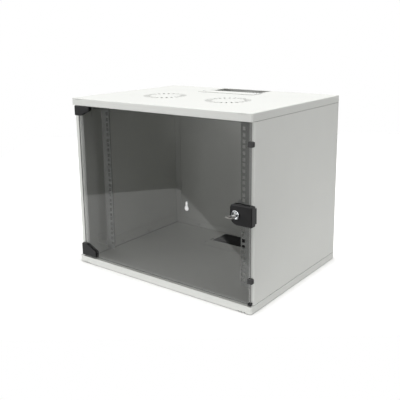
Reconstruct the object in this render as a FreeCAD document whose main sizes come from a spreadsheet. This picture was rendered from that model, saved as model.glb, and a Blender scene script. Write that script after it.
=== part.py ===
# Wall-mount 19-inch network cabinet, 9U, flat-pack sheet steel with a frameless glass door.
# Frame: X is the width (right is +X), the front faces -Y, +Z is up.
# Origin: on the floor plane, in the middle of the width and of the depth.
# The pieces are drawn from the front face of the fascias (y = 0 there) and then set back by
# half the depth with their placements.
# All sizes are in millimetres and stand in the spreadsheet "Sizes".
import FreeCAD, Part
import Sketcher
import math
import os
import re

os.makedirs("parts", exist_ok=True)
doc = FreeCAD.newDocument("wall_cabinet")
sheet = doc.addObject("Spreadsheet::Sheet", "Sizes")
V = FreeCAD.Vector

# Driving sizes.
sizes = {
    # carcass: body of the cabinet
    "width": 600.0,
    "depth": 450.0,
    "height": 485.0,
    "gauge": 1.2,               # sheet thickness of the panels
    "rim": 20.0,                # height of the rims of the top and bottom trays
    "bend_out": 2.5,            # outer bend radius of the trays
    "ledge": 25.0,              # return under / over the fascias
    "seam": 1.0,                # line between tray rims and side panels
    "setback": 10.0,            # front flanges of the side panels behind the fascias
    "hinge_flange": 33.5,       # width of the flange on the hinge side, the left
    "lock_flange": 13.5,        # and on the lock side, the right
    "rear_flange": 22.0,
    "front_bend": 7.0,          # outer radius of the upright bends at the front corners
    "corner_bend": 4.0,         # outer radius of the side-panel bends at the rear
    "lap": 14.0,                # welded strip above the seam
    "strip_reach": 16.0,        # the strip below the seam, inside the rim
    "strip_clear": 3.0,         # strips behind the return of the tray
    "rim_notch": 12.0,          # relief at each end of the rear rims
    # cooling vents and cable entries
    "vent_x": 109.0,
    "vent_y": 180.0,
    "vent_inner": 43.0,
    "vent_outer": 62.5,
    "vent_slot": 5.6,
    "vent_nip": 1.5,            # slot ends are nipped at 45 degrees by this
    "vent_count": 24,
    "entry_width": 170.0,
    "entry_length": 80.0,
    "entry_rear": 444.0,        # rear edge of the cable cut-outs from the front
    "entry_corner": 3.5,
    "cover_side": 14.0,         # the cover plate is wider than the cut-out by this, each side
    "cover_length": 46.0,
    "cover_gauge": 1.0,
    "cover_lift": 0.3,          # running gap under the cover plate
    "cover_travel": 44.0,
    "cover_stud": 7.0,          # screw of the cover from the side of the cut-out
    "guide_width": 4.4,
    # three-hole groups on the fascias
    "trio_edge": 28.0,
    "trio_pitch": 8.6,
    "trio_hole": 3.4,
    "trio_drop": 3.0,
    # wall fixing
    "wall_x": 512.0,
    "wall_z": 369.0,
    "wall_hole": 18.0,
    "wall_slot": 9.0,
    "wall_rise": 20.0,
    # 19-inch rails (EIA-310)
    "unit": 44.45,
    "bay_margin": 20.0,         # least height left free above and below the units
    "rail_columns": 465.1,
    "rail_clear": 450.0,
    "rail_setback": 68.0,
    "rail_face": 31.0,
    "rail_gauge": 2.0,
    "rail_web": 32.0,
    "rail_hole": 9.5,
    "rail_first": 6.35,
    "rail_step": 15.875,
    "rail_spare": 12.0,         # rail ends from the seams
    "rail_bend": 2.8,
    "foot_height": 26.0,
    "foot_length": 28.0,
    "foot_gauge": 2.0,
    "foot_gap": 1.0,
    "foot_screw": 9.0,          # screws below the upper edge of the foot
    # glass door
    "glass": 4.0,
    "glass_back": 1.5,          # glass behind the fascia plane
    "glass_hinge": 24.0,        # hinge-side edge from the side of the cabinet
    "glass_lock": 4.0,
    "glass_top": 1.8,
    "glass_bottom": 4.8,
    "glass_chamfer": 0.6,
    # clip hinges
    "hinge_front": 2.5,         # hinge blocks in front of the fascia plane
    "hinge_thick": 12.2,
    "hinge_length": 60.0,
    "hinge_upper": 28.0,
    "hinge_lower": 35.0,
    "hinge_flat": 22.0,
    "hinge_end": 14.0,
    "hinge_soft": 1.6,
    "hinge_play": 0.8,          # block below / above the tray return
    "pin": 4.0,
    "pin_fit": 0.08,
    "pin_reach": 8.0,
    "pin_root": 12.0,
    # lock
    "lock_rise": 2.5,           # lock above the middle of the height
    "lock_width": 62.0,
    "lock_height": 50.0,
    "lock_front": 7.0,
    "lock_over": 4.5,           # lock outside the side of the cabinet
    "lock_wrap": 6.0,           # lip that runs back beside the cabinet
    "lock_pad": 3.4,            # clamp leg behind the glass
    "lock_soft": 2.0,
    "lock_side_gap": 0.8,       # lip of the lock beside the cabinet
    "barrel_x": 45.5,           # lock axis from the outer end of the lock
    "barrel": 16.0,
    "barrel_rim": 22.0,
    "barrel_proud": 1.5,
    "barrel_recess": 27.0,
    "rotor": 11.6,
    "rotor_fit": 0.08,
    "cam_length": 33.0,
    "cam_width": 12.0,
    "cam_gauge": 2.0,
    "cam_gap": 2.0,
    "key_bow": 27.0,
    "key_bow_length": 22.0,
    "key_gauge": 2.0,
    "key_blade": 7.4,
    "key_length": 18.0,
    "key_neck": 6.0,
    "key_fit": 0.15,
    # buffers on the glass edge
    "buffer_low": 84.5,         # from the floor and from the top
    "buffer_top": 71.5,
    "buffer_size": 12.5,
    "buffer_wall": 7.0,
    "buffer_grip": 8.0,
    "buffer_front": 1.2,
    "buffer_gap": 0.5,
    "cap_height": 6.5,
    "cap_width": 9.5,
    # screws
    "screw": 4.0,
    "screw_head": 7.6,
    "screw_rise": 2.2,
    "screw_gap": 0.05,
    "screw_spread": 6.5,
    "screw_inset": 150.0,       # strip screws from the front return and from the back panel
    "hole_sides": 10,           # screws and their holes are drawn with this many flats
    "flange_hole": 6.5,         # small holes from the free edge of the front flanges
}

# Lines and planes shared by several pieces.
lines = {
    "side": "width / 2",
    "side_in": "side - gauge",
    "rear_in": "depth - gauge",                   # front face of the back panel
    "top_in": "height - gauge",
    "rail_x": "rail_columns / 2",
    "rail_inner": "rail_clear / 2",
    "rail_outer": "rail_inner + rail_face",
    "units": "floor((height - 2 * rim - 2 * bay_margin) / unit)",
    "bay_low": "height / 2 - unit * units / 2",
    "rail_low": "rim + seam + rail_spare",
    "rail_high": "height - rail_low",
    "strip_in": "side_in - gauge",
    "foot_low": "rim + seam + lap + foot_gap",
    "glass_y": "glass_back + glass",
    "glass_left": "glass_hinge - side",
    "glass_right": "side - glass_lock",
    "glass_low": "rim + glass_bottom",
    "glass_high": "height - rim - glass_top",
    "pin_y": "hinge_thick / 2 - hinge_front",
    "hinge_back": "hinge_thick - hinge_front",
    "hinge_left": "glass_left - hinge_end",
    "pin_x": "hinge_left + hinge_thick / 2",
    "hinge_right": "hinge_left + hinge_length",
    "lower_low": "glass_low",
    "lower_high": "lower_low + hinge_lower",
    "upper_high": "height - rim - hinge_play",
    "upper_low": "upper_high - hinge_upper",
    "lock_z": "height / 2 + lock_rise",
    "lock_right": "side + lock_over",
    "lock_left": "lock_right - lock_width",
    "lock_back": "glass_y + lock_pad",
    "axis_x": "lock_right - barrel_x",
    "flange_back": "setback + gauge",
    "cam_y": "flange_back + cam_gap",
    "entry_front": "entry_rear - entry_length",
    "cover_front": "entry_front - cover_length",
    "cover_half": "entry_width / 2 + cover_side",
    "stud_x": "entry_width / 2 + cover_stud",
    "stud_y": "entry_front - cover_length / 2",
}

for row, (alias, content) in enumerate({**sizes, **lines}.items(), start=1):
    sheet.set("A%d" % row, alias)
    sheet.set("B%d" % row, "=" + content if alias in lines else repr(content))
    sheet.setAlias("B%d" % row, alias)
doc.recompute()


# ---- helpers --------------------------------------------------------------------------------
def bound(text):
    """A formula over the sheet: every word becomes a cell of Sizes."""
    return re.sub(r"[A-Za-z_]\w*", lambda word: word.group(0) if word.group(0) == "floor" else "Sizes." + word.group(0), text)


def value(text):
    """The present number of a formula over the sheet."""
    return float(sheet.evalExpression(bound(text)))


def bind(thing, name, text):
    thing.setExpression(name, bound(text))


def body(label):
    """A body that stands in the cabinet; a template stays at zero, and its copies are placed."""
    made = doc.addObject("PartDesign::Body", label)
    made.Label = label
    if not label.endswith("_template"):
        bind(made, "Placement.Base.y", "0 - depth / 2")
    return made


def sketch(owner, plane, level="0", x="0", y="0"):
    """A sketch on an origin plane of its body, shifted along the axis that the plane lacks."""
    made = owner.newObject("Sketcher::SketchObject", owner.Name + "_sketch")
    planes = [f for f in owner.Origin.OriginFeatures if f.Role == plane + "_Plane"]
    made.AttachmentSupport = [(planes[0], "")]
    made.MapMode = "FlatFace"
    bind(made, "AttachmentOffset.Base.x", x)
    bind(made, "AttachmentOffset.Base.y", y)
    bind(made, "AttachmentOffset.Base.z", "0 - (%s)" % level if plane == "XZ" else level)
    return made


def hold(made, kind, *rest):
    """Adds a dimension whose last argument is a formula."""
    text = rest[-1]
    number = made.addConstraint(Sketcher.Constraint(kind, *rest[:-1], value(text)))
    made.setExpression("Constraints[%d]" % number, bound(text))


def polygon(made, points):
    """A closed outline whose corners are placed by formulas."""
    spots = [V(value(a), value(b), 0) for a, b in points]
    first = made.GeometryCount
    count = len(points)
    for i in range(count):
        made.addGeometry(Part.LineSegment(spots[i], spots[(i + 1) % count]), False)
    for i in range(count):
        made.addConstraint(Sketcher.Constraint("Coincident", first + i, 2, first + (i + 1) % count, 1))
    for i, (a, b) in enumerate(points):
        hold(made, "DistanceX", -1, 1, first + i, 1, a)
        hold(made, "DistanceY", -1, 1, first + i, 1, b)


def rectangle(made, x0, x1, y0, y1):
    polygon(made, [(x0, y0), (x1, y0), (x1, y1), (x0, y1)])


def circle(made, x, y, diameter):
    number = made.GeometryCount
    made.addGeometry(Part.Circle(V(value(x), value(y), 0), V(0, 0, 1), value(diameter) / 2), False)
    hold(made, "DistanceX", -1, 1, number, 3, x)
    hold(made, "DistanceY", -1, 1, number, 3, y)
    hold(made, "Diameter", number, diameter)


def drill(made, x, y, diameter):
    """A hole with flats, no narrower than the diameter, so that the mesh stays light."""
    sides = int(value("hole_sides"))
    turn = [math.pi * (2 * i + 1) / sides for i in range(sides)]
    grow = 0.5 / math.cos(math.pi / sides)
    polygon(made, [("%s + (%s) * %.6f" % (x, diameter, grow * math.cos(a)),
                    "%s + (%s) * %.6f" % (y, diameter, grow * math.sin(a))) for a in turn])


def slot(made, x, low, high, wide):
    """An upright slot between two centre heights, its round ends drawn with flats."""
    half = int(value("hole_sides")) // 2
    points = []
    for end, start in ((high, 0), (low, half)):
        for i in range(half + 1):
            turn = math.pi * (start + i) / half
            points.append(("%s + (%s) * %.6f" % (x, wide, math.cos(turn) / 2),
                           "%s + (%s) * %.6f" % (end, wide, math.sin(turn) / 2)))
    polygon(made, points)


def feature(kind, made, length=None, both=False, away=False):
    """Pad or Pocket of a sketch: a length formula, or all the way through when none is given."""
    owner = made.getParentGeoFeatureGroup()
    step = owner.newObject("PartDesign::" + kind, owner.Name + "_" + kind.lower())
    step.Profile = made
    if length is None:
        step.Type = "ThroughAll"
        step.Midplane = True
    else:
        step.Midplane = both
        step.Reversed = away
        bind(step, "Length", length)
    made.Visibility = False
    doc.recompute()
    return step


def pad(made, length, both=False, away=False):
    return feature("Pad", made, length, both, away)


def pocket(made, length=None, away=False):
    before = made.getParentGeoFeatureGroup().Shape.Volume
    step = feature("Pocket", made, length, False, away)
    assert made.getParentGeoFeatureGroup().Shape.Volume < before - 1e-3, made.Name + " cuts nothing"
    return step


def soften(owner, radius, choose, kind="Fillet"):
    """Rounds or chamfers the edges of a body that the given test picks."""
    tip = owner.Tip
    names = ["Edge%d" % (i + 1) for i, e in enumerate(tip.Shape.Edges) if choose(e)]
    assert names, owner.Label + " has no edge to soften"
    step = owner.newObject("PartDesign::" + kind, owner.Name + "_" + kind.lower())
    step.Base = (tip, names)
    bind(step, "Radius" if kind == "Fillet" else "Size", radius)
    doc.recompute()
    assert step.isValid(), owner.Label + " is not softened"
    return step


def along(edge, axis):
    """True for a straight edge that runs along one axis (x, y or z)."""
    run = edge.Vertexes[-1].Point - edge.Vertexes[0].Point
    return abs(edge.Length - run.Length) < 1e-6 and abs(abs(getattr(run, axis)) - run.Length) < 1e-6


def at(edge, **spots):
    """True for an edge whose middle lies at the given coordinates."""
    box = edge.BoundBox
    middle = {"x": box.Center.x, "y": box.Center.y, "z": box.Center.z}
    return all(abs(middle[name] - spot) < 1e-4 for name, spot in spots.items())


def flat(edge, axis, spot):
    """True for an edge that lies wholly in the plane axis = spot."""
    box = edge.BoundBox
    low, high = getattr(box, axis.upper() + "Min"), getattr(box, axis.upper() + "Max")
    return abs(low - spot) < 1e-4 and abs(high - spot) < 1e-4


def mirrored(source, label):
    """The other-hand piece: the source mirrored in the middle plane of the width."""
    made = doc.addObject("Part::Mirroring", label)
    made.Source = source
    made.Normal = V(1, 0, 0)
    made.Label = label
    doc.recompute()
    return made


def group(label, source, places):
    """Separate solids of one template piece, one at each placement."""
    made = doc.addObject("Part::Feature", label)
    made.Shape = Part.makeCompound([source.Shape.transformed(p.Matrix, True) for p in places])
    made.Placement = FreeCAD.Placement(V(0, -value("depth") / 2, 0), FreeCAD.Rotation())
    made.Label = label
    return made


def place(x, y, z, turn=None):
    return FreeCAD.Placement(V(x, y, z), turn or FreeCAD.Rotation())


def revolve(made, axis):
    owner = made.getParentGeoFeatureGroup()
    step = owner.newObject("PartDesign::Revolution", owner.Name + "_turned")
    step.Profile = made
    step.ReferenceAxis = (made, [axis])
    step.Angle = 360
    doc.recompute()
    return step


# ---- trays: top and bottom panels ------------------------------------------------------------
# Each tray is a folded sheet: a flat face, rims all round, and a return behind the fascia.
back_columns = ("width / 3", "0", "0 - width / 3")


def tray(label, face, open_side, is_top):
    piece = body(label)
    outline = sketch(piece, "XY", face)
    rectangle(outline, "0 - side", "side", "0", "rear_in")
    pad(outline, "rim", away=is_top)
    level = value(face)
    soften(piece, "front_bend", lambda e: along(e, "z") and flat(e, "y", 0))
    soften(piece, "bend_out", lambda e: flat(e, "z", level) and not flat(e, "y", value("rear_in")))
    hollow = sketch(piece, "XY", open_side)
    outline = [("side_in", "rear_in - gauge"), ("0 - side_in", "rear_in - gauge")]
    quarter = int(value("hole_sides")) // 2
    for sign, start in (("0 - ", quarter * 2), ("", quarter * 3)):
        for i in range(quarter + 1):
            turn = math.pi / 2 * (start + i) / quarter
            outline.append(("%s(side - front_bend) + (front_bend - gauge) * %.6f" % (sign, math.cos(turn)),
                            "front_bend + (front_bend - gauge) * %.6f" % math.sin(turn)))
    polygon(hollow, outline)
    pocket(hollow, "rim - gauge", away=is_top)
    # reliefs at the ends of the rear rim, so that the side-panel flanges reach the tray
    relief = sketch(piece, "XY", open_side)
    rectangle(relief, "0 - side_in", "rim_notch - side_in", "rear_in - 2 * gauge", "rear_in + 1")
    rectangle(relief, "side_in - rim_notch", "side_in", "rear_in - 2 * gauge", "rear_in + 1")
    pocket(relief, "rim - gauge", away=is_top)
    # the return: a strip behind the fascia, level with the open edge of the rim
    turned = sketch(piece, "XY", open_side)
    polygon(turned, [("0 - side_in", "front_bend"), ("front_bend - side", "gauge / 2"),
                     ("side - front_bend", "gauge / 2"), ("side_in", "front_bend"),
                     ("side_in", "ledge"), ("0 - side_in", "ledge")])
    pad(turned, "gauge", away=not is_top)
    # three small holes near each end of the fascia, beside the bend
    row = "%s %s trio_drop" % (face, "-" if is_top else "+")
    trio = sketch(piece, "XZ", "0")
    for side in ("side", "0 - side"):
        inward = "-" if side == "side" else "+"
        for shift in ("0 - trio_pitch", "0", "trio_pitch"):
            drill(trio, "%s %s trio_edge + %s" % (side, inward, shift), row, "trio_hole")
    pocket(trio, "gauge * 2")
    # screw holes of the back panel in the rear rim
    rear = sketch(piece, "XZ", "rear_in - gauge")
    for x in back_columns:
        drill(rear, x, "height - rim / 2" if is_top else "rim / 2", "screw + 2 * screw_gap")
    pocket(rear, "gauge")
    # hinge pin hole in the return
    pivot = sketch(piece, "XY", open_side)
    drill(pivot, "pin_x", "pin_y", "pin + 2 * pin_fit")
    pocket(pivot, "3 * gauge", away=is_top)
    # cable cut-out near the rear edge, with slots for the cover's screws
    entry = sketch(piece, "XY", face)
    rectangle(entry, "0 - entry_width / 2", "entry_width / 2", "entry_front", "entry_rear")
    slot(entry, "stud_x", "stud_y", "stud_y + cover_travel", "guide_width")
    slot(entry, "0 - stud_x", "stud_y", "stud_y + cover_travel", "guide_width")
    pocket(entry)
    half, front, rear = value("entry_width / 2"), value("entry_front"), value("entry_rear")
    corners = [(x, y) for x in (-half, half) for y in (front, rear)]
    soften(piece, "entry_corner", lambda e: along(e, "z") and any(at(e, x=x, y=y) for x, y in corners),
           "Chamfer")
    return piece


top_panel = tray("top_panel", "height", "height - rim", True)
for side in ("vent_x", "0 - vent_x"):
    ring = sketch(top_panel, "XY", "height", side, "vent_y")
    edge, end = "vent_slot / 2", "vent_slot / 2 - vent_nip"
    polygon(ring, [("0 - (%s)" % end, "vent_inner"), (end, "vent_inner"),
                   (edge, "vent_inner + vent_nip"), (edge, "vent_outer - vent_nip"),
                   (end, "vent_outer"), ("0 - (%s)" % end, "vent_outer"),
                   ("0 - " + edge, "vent_outer - vent_nip"), ("0 - " + edge, "vent_inner + vent_nip")])
    cut = pocket(ring)
    vents = top_panel.newObject("PartDesign::PolarPattern", "vents")
    vents.Originals = [cut]
    vents.Axis = (ring, ["N_Axis"])
    vents.Angle = 360
    bind(vents, "Occurrences", "vent_count")
    top_panel.Tip = vents
    doc.recompute()

bottom_panel = tray("bottom_panel", "0", "rim", False)

# ---- side panels --------------------------------------------------------------------------------
# A folded sheet: front flange behind the door, wall flush with the rims, rear flange.
strip_rows = ("ledge + screw_inset", "rear_in - screw_inset")
strip_levels = ("rim / 2 + 1", "height - rim / 2 - 1")


def side_panel(label, flange):
    """The right-hand panel, with a front flange of the given width."""
    piece = body(label)
    wall = sketch(piece, "XY", "rim + seam")
    polygon(wall, [("side - " + flange, "setback"), ("side", "setback"), ("side", "rear_in"),
                   ("side - rear_flange", "rear_in"), ("side - rear_flange", "rear_in - gauge"),
                   ("side_in", "rear_in - gauge"), ("side_in", "setback + gauge"),
                   ("side - " + flange, "setback + gauge")])
    pad(wall, "height - 2 * rim - 2 * seam")
    for radius, y, inner_y in (("front_bend", "setback", "setback + gauge"),
                               ("corner_bend", "rear_in", "rear_in - gauge")):
        soften(piece, radius, lambda e: along(e, "z") and at(e, x=value("side"), y=value(y)))
        soften(piece, radius + " - gauge",
               lambda e: along(e, "z") and at(e, x=value("side_in"), y=value(inner_y)))
    # welded strips along both edges, which stand inside the rims of the trays
    for level in ("rim - strip_reach", "height - rim - seam - lap"):
        strip = sketch(piece, "XY", level)
        rectangle(strip, "strip_in", "side_in", "ledge + strip_clear", "rear_in - gauge - corner_bend")
        pad(strip, "strip_reach + seam + lap")
    # screw holes along the strips
    holes = sketch(piece, "YZ", "strip_in")
    for row in strip_rows:
        for level in strip_levels:
            drill(holes, row, level, "screw + 2 * screw_gap")
    pocket(holes, "gauge", away=True)
    return piece


side_panel("side_panel_right", "lock_flange")
hinge_side = side_panel("hinge_side_template", "hinge_flange")
# two small holes in the wide flange
holes = sketch(hinge_side, "XZ", "setback")
for level in ("buffer_low", "height - buffer_top"):
    drill(holes, "side - hinge_flange + flange_hole", level, "screw")
pocket(holes, "gauge * 2")
left_panel = mirrored(hinge_side, "side_panel_left")
bind(left_panel, "Placement.Base.y", "0 - depth / 2")

# ---- back panel with four wall keyholes ---------------------------------------------------------
back_panel = body("back_panel")
plate = sketch(back_panel, "XZ", "rear_in")
rectangle(plate, "seam - side", "side - seam", "seam", "height - seam")
pad(plate, "gauge", away=True)
soften(back_panel, "bend_out", lambda e: along(e, "y"))
keyholes = sketch(back_panel, "XZ", "rear_in")
for x in ("wall_x / 2", "0 - wall_x / 2"):
    for z in ("height / 2 - wall_z / 2", "height / 2 + wall_z / 2"):
        slot(keyholes, x, z, z + " + wall_rise", "wall_slot")
pocket(keyholes)
holes = sketch(back_panel, "XZ", "rear_in")
for x in back_columns:
    for z in ("rim / 2", "height - rim / 2"):
        drill(holes, x, z, "screw + 2 * screw_gap")
pocket(holes)
heads = sketch(back_panel, "XZ", "rear_in")
for x in ("wall_x / 2", "0 - wall_x / 2"):
    for z in ("height / 2 - wall_z / 2", "height / 2 + wall_z / 2"):
        circle(heads, x, z, "wall_hole")
pocket(heads)

# ---- 19-inch rails ----------------------------------------------------------------------------------
rail_right = body("rack_rail_right")
angle = sketch(rail_right, "XY", "rail_low")
polygon(angle, [("rail_inner", "rail_setback"), ("rail_outer", "rail_setback"),
                ("rail_outer", "rail_setback + rail_web"),
                ("rail_outer - rail_gauge", "rail_setback + rail_web"),
                ("rail_outer - rail_gauge", "rail_setback + rail_gauge"),
                ("rail_inner", "rail_setback + rail_gauge")])
pad(angle, "rail_high - rail_low")
soften(rail_right, "rail_bend",
       lambda e: along(e, "z") and at(e, x=value("rail_outer"), y=value("rail_setback")))
web = sketch(rail_right, "YZ", "rail_outer")
for z in ("foot_low + foot_height - foot_screw", "height - foot_low - foot_height + foot_screw"):
    for shift in ("foot_length / 2 - screw_spread", "foot_length / 2 + screw_spread"):
        drill(web, "rail_setback + rail_gauge + " + shift, z, "screw + 2 * screw_gap")
pocket(web, "rail_gauge")
window = sketch(rail_right, "XZ", "rail_setback")
for row in ("rail_first", "rail_first + rail_step", "rail_first + 2 * rail_step"):
    mid = "bay_low + " + row
    rectangle(window, "rail_x - rail_hole / 2", "rail_x + rail_hole / 2",
              mid + " - rail_hole / 2", mid + " + rail_hole / 2")
cut = pocket(window)
ladder = rail_right.newObject("PartDesign::LinearPattern", "rail_units")
ladder.Originals = [cut]
ladder.Direction = (window, ["V_Axis"])
bind(ladder, "Length", "unit * (units - 1)")
bind(ladder, "Occurrences", "units")
rail_right.Tip = ladder
doc.recompute()
rail_left = mirrored(rail_right, "rack_rail_left")

# ---- rail feet: folded channels between the rails and the side walls --------------------------------
foot = body("rail_foot_template")
channel = sketch(foot, "XZ", "rail_setback + rail_gauge")
low = "foot_low"
polygon(channel, [("rail_outer", low), ("side_in", low),
                  ("side_in", "%s + foot_height" % low),
                  ("side_in - foot_gauge", "%s + foot_height" % low),
                  ("side_in - foot_gauge", "%s + foot_gauge" % low),
                  ("rail_outer + foot_gauge", "%s + foot_gauge" % low),
                  ("rail_outer + foot_gauge", "%s + foot_height" % low),
                  ("rail_outer", "%s + foot_height" % low)])
pad(channel, "foot_length", away=True)
bores = sketch(foot, "YZ", "rail_outer")
screw_z = "foot_low + foot_height - foot_screw"
foot_middle = "rail_setback + rail_gauge + foot_length / 2"
screw_rows = (foot_middle + " - screw_spread", foot_middle + " + screw_spread")
for row in screw_rows:
    drill(bores, row, screw_z, "screw + 2 * screw_gap")
pocket(bores, "foot_gauge", away=True)
middle = V(0, value(foot_middle), value("height / 2"))
turns = [FreeCAD.Rotation()] + [FreeCAD.Rotation(axis, 180) for axis in (V(0, 0, 1), V(1, 0, 0), V(0, 1, 0))]
group("rail_feet", foot, [FreeCAD.Placement(V(0, 0, 0), turn, middle) for turn in turns])


# ---- fasteners: one template each, heads up along +Z, the seat at z = 0 ------------------------------
def prism(made, diameter):
    """A regular outline with flats whose corners lie on the given diameter."""
    sides = int(value("hole_sides"))
    drill(made, "0", "0", "(%s) * %.6f" % (diameter, math.cos(math.pi / sides)))


def pan_screw(label, shank):
    piece = body(label)
    rod = sketch(piece, "XY")
    prism(rod, "screw")
    pad(rod, shank, away=True)
    cap = sketch(piece, "XY")
    prism(cap, "screw_head")
    pad(cap, "screw_rise")
    soften(piece, "screw_rise * 0.55", lambda e: flat(e, "z", value("screw_rise")), "Chamfer")
    return piece


def hex_nut(label):
    outer = doc.addObject("Part::Prism", label + "_hexagon")
    outer.Polygon = 6
    bind(outer, "Circumradius", "screw_head / 2")
    bind(outer, "Height", "screw * 0.8")
    bore = doc.addObject("Part::Prism", label + "_bore")
    bind(bore, "Polygon", "hole_sides")
    bind(bore, "Circumradius", "screw * 0.54 + screw_gap")
    bind(bore, "Height", "screw * 0.8")
    made = doc.addObject("Part::Cut", label)
    made.Base = outer
    made.Tool = bore
    made.Label = label
    doc.recompute()
    return made


UP = V(0, 0, 1)
nut = hex_nut("nut_template")

# screws between the welded strips and the rims, heads inside the cabinet
panel_screw = pan_screw("panel_screw_template", "gauge")
spots = []
for side, way in (("strip_in", V(-1, 0, 0)), ("0 - strip_in", V(1, 0, 0))):
    for level in strip_levels:
        for row in strip_rows:
            spots.append(place(value(side), value(row), value(level), FreeCAD.Rotation(UP, way)))
group("panel_screws", panel_screw, spots)

# screws of the back panel, driven from inside through the rear rims, flush behind
spots = []
for x in back_columns:
    for z in ("rim / 2", "height - rim / 2"):
        spots.append(place(value(x), value("rear_in - gauge"), value(z), FreeCAD.Rotation(UP, V(0, -1, 0))))
back_screw = pan_screw("back_screw_template", "2 * gauge")
group("back_panel_screws", back_screw, spots)

# screws and nuts between rails and feet
rail_screw = pan_screw("rail_screw_template", "rail_gauge + foot_gauge + screw")
spots, nuts = [], []
for sign in (1, -1):
    way = V(-sign, 0, 0)
    for z in (value(screw_z), value("height") - value(screw_z)):
        for row in screw_rows:
            turn = FreeCAD.Rotation(UP, way)
            spots.append(place(sign * value("rail_outer - rail_gauge"), value(row), z, turn))
            nuts.append(place(sign * value("rail_outer + foot_gauge"), value(row), z,
                              FreeCAD.Rotation(UP, -way)))
group("rail_screws", rail_screw, spots)
group("rail_nuts", nut, nuts)


# ---- sliding covers of the cable entries --------------------------------------------------------------
def cover(label, level, upward):
    piece = body(label)
    outline = sketch(piece, "XY", level)
    rectangle(outline, "0 - cover_half", "cover_half", "cover_front", "cover_front + cover_length")
    pad(outline, "cover_gauge")
    soften(piece, "entry_corner * 0.6", lambda e: along(e, "z"), "Chamfer")
    bores = sketch(piece, "XY", level)
    drill(bores, "stud_x", "stud_y", "screw + 2 * screw_gap")
    drill(bores, "0 - stud_x", "stud_y", "screw + 2 * screw_gap")
    pocket(bores)
    return piece


cover("cable_cover_top", "height + cover_lift", True)
cover("cable_cover_bottom", "gauge + cover_lift", False)
long_screw = pan_screw("long_screw_template", "cover_gauge + cover_lift * 2 + gauge + screw * 0.9")
short_screw = pan_screw("short_screw_template", "cover_gauge + cover_lift + gauge * 0.7")
x, y = value("stud_x"), value("stud_y")
seat = value("height + cover_lift + cover_gauge")
group("cover_screws_top", long_screw, [place(x, y, seat), place(-x, y, seat)])
seat = value("height - gauge - cover_lift - screw * 0.8")
group("cover_nuts_top", nut, [place(x, y, seat), place(-x, y, seat)])
seat = value("gauge + cover_lift + cover_gauge")
group("cover_screws_bottom", short_screw, [place(x, y, seat), place(-x, y, seat)])

# ---- glass door ---------------------------------------------------------------------------------------------
door = body("door_glass")
pane = sketch(door, "XZ", "glass_back")
rectangle(pane, "glass_left", "glass_right", "glass_low", "glass_high")
pad(pane, "glass", away=True)
bore = sketch(door, "XZ", "glass_back")
drill(bore, "axis_x", "lock_z", "barrel + 3")
pocket(bore)
soften(door, "glass_chamfer", lambda e: flat(e, "y", value("glass_back")) or flat(e, "y", value("glass_y")),
       "Chamfer")


# ---- clip hinges: a block with a round end on the pin and a slot for the glass ---------------------------------
def hinge(label, low, high, corner_low):
    piece = body(label)
    bar = sketch(piece, "XY", low)
    r = value("hinge_thick") / 2
    px, py, end = value("pin_x"), value("pin_y"), value("hinge_right")
    round_end = Part.ArcOfCircle(Part.Circle(V(px, py, 0), UP, r), math.pi / 2, 3 * math.pi / 2)
    bar.addGeometry(round_end, False)
    bar.addGeometry(Part.LineSegment(V(px, py - r, 0), V(end, py - r, 0)), False)
    bar.addGeometry(Part.LineSegment(V(end, py - r, 0), V(end, py + r, 0)), False)
    bar.addGeometry(Part.LineSegment(V(end, py + r, 0), V(px, py + r, 0)), False)
    bar.addConstraint(Sketcher.Constraint("Tangent", 0, 2, 1, 1))
    bar.addConstraint(Sketcher.Constraint("Tangent", 3, 2, 0, 1))
    bar.addConstraint(Sketcher.Constraint("Coincident", 1, 2, 2, 1))
    bar.addConstraint(Sketcher.Constraint("Coincident", 2, 2, 3, 1))
    bar.addConstraint(Sketcher.Constraint("Vertical", 2))
    bar.addConstraint(Sketcher.Constraint("Horizontal", 1))
    hold(bar, "DistanceX", -1, 1, 0, 3, "pin_x")
    hold(bar, "DistanceY", -1, 1, 0, 3, "pin_y")
    hold(bar, "Radius", 0, "hinge_thick / 2")
    hold(bar, "DistanceX", -1, 1, 2, 1, "hinge_right")
    pad(bar, "%s - (%s)" % (high, low))
    # the corner that looks to the middle of the door is cut off on the slant
    slant = sketch(piece, "XZ", "0 - hinge_front - 1")
    if corner_low:
        polygon(slant, [("hinge_left + hinge_flat", low + " - 1"), ("hinge_right + 1", low + " - 1"),
                        ("hinge_right + 1", low + " + hinge_upper * 0.62"),
                        ("hinge_left + hinge_flat", low)])
    else:
        polygon(slant, [("hinge_left + hinge_flat", high), ("hinge_right + 1", high + " - hinge_lower * 0.5"),
                        ("hinge_right + 1", high + " + 1"), ("hinge_left + hinge_flat", high + " + 1")])
    pocket(slant, "hinge_thick + 2")
    soften(piece, "hinge_soft", lambda e: flat(e, "y", value("0 - hinge_front")), "Chamfer")
    jaw = sketch(piece, "XY", low)
    rectangle(jaw, "glass_left", "hinge_right + 1", "glass_back", "glass_y")
    pocket(jaw)
    root = sketch(piece, "XY", high if corner_low else low)
    drill(root, "pin_x", "pin_y", "pin")
    pocket(root, "pin_root", away=not corner_low)
    return piece


hinge("hinge_upper", "upper_low", "upper_high", True)
hinge("hinge_lower", "lower_low", "lower_high", False)
pins = []
for name, low, high in (("pin_low", "rim - pin_reach", "lower_low + pin_root"),
                        ("pin_high", "upper_high - pin_root", "height - rim + pin_reach")):
    one = doc.addObject("Part::Cylinder", name)
    bind(one, "Radius", "pin / 2")
    bind(one, "Height", "%s - (%s)" % (high, low))
    bind(one, "Placement.Base.x", "pin_x")
    bind(one, "Placement.Base.y", "pin_y")
    bind(one, "Placement.Base.z", low)
    pins.append(one)
both = doc.addObject("Part::Compound", "hinge_pins")
both.Links = pins
both.Label = "hinge_pins"
bind(both, "Placement.Base.y", "0 - depth / 2")
doc.recompute()

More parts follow.
